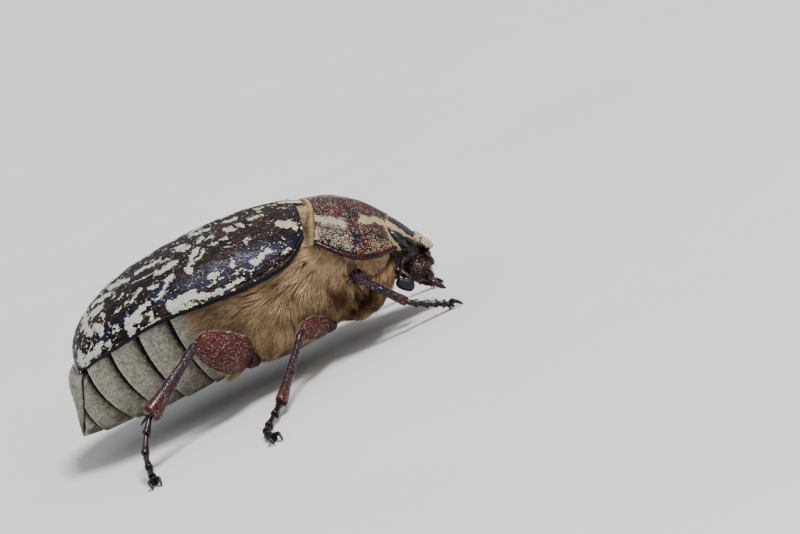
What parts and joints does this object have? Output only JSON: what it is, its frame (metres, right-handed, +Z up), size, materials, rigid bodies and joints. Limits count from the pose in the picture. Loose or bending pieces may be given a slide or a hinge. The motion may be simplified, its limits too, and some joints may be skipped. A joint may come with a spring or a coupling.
{
  "type": "pine chafer",
  "caption": "Large scarab beetle standing on its legs, with domed marbled wing cases, a long-haired underside, grooved antennal clubs and hooked claws.",
  "frame": {"origin": "on the floor under the middle of the insect's box", "axes": "+X towards the head, +Y towards the insect's left side, +Z up"},
  "size_m": [0.0349, 0.0439, 0.0147],
  "materials": {
    "wing_case": "dark chestnut-brown cuticle with blue-black rim and cream-white scale marbling",
    "pronotum": "dark mahogany-red pitted cuticle with cream scales",
    "head": "black-brown pitted cuticle",
    "eye": "glossy black",
    "down": "grey-beige velvety down",
    "hair": "long golden-tan hair",
    "leg": "glossy mahogany cuticle",
    "foot": "glossy near-black cuticle"
  },
  "bodies": {
    "root": {"head": "head", "mouthparts": "head", "eye_right": "eye", "eye_left": "eye", "antenna_right": "foot", "antenna_left": "foot", "palp_right": "leg", "palp_left": "leg", "pronotum": "pronotum", "scutellum": "pronotum", "elytron_right": "wing_case", "elytron_left": "wing_case", "prothorax": "hair", "thorax": "hair", "abdomen": "down", "pygidium": "down", "leg_front_right_femur": "leg", "leg_front_right_tibia": "leg", "leg_front_right_tarsus": "foot", "leg_front_left_femur": "leg", "leg_front_left_tibia": "leg", "leg_front_left_tarsus": "foot", "leg_middle_right_femur": "leg", "leg_middle_right_tibia": "leg", "leg_middle_right_tarsus": "foot", "leg_middle_left_femur": "leg", "leg_middle_left_tibia": "leg", "leg_middle_left_tarsus": "foot", "leg_hind_right_femur": "leg", "leg_hind_right_tibia": "leg", "leg_hind_right_tarsus": "foot", "leg_hind_left_femur": "leg", "leg_hind_left_tibia": "leg", "leg_hind_left_tarsus": "foot"}
  },
  "joints": []
}
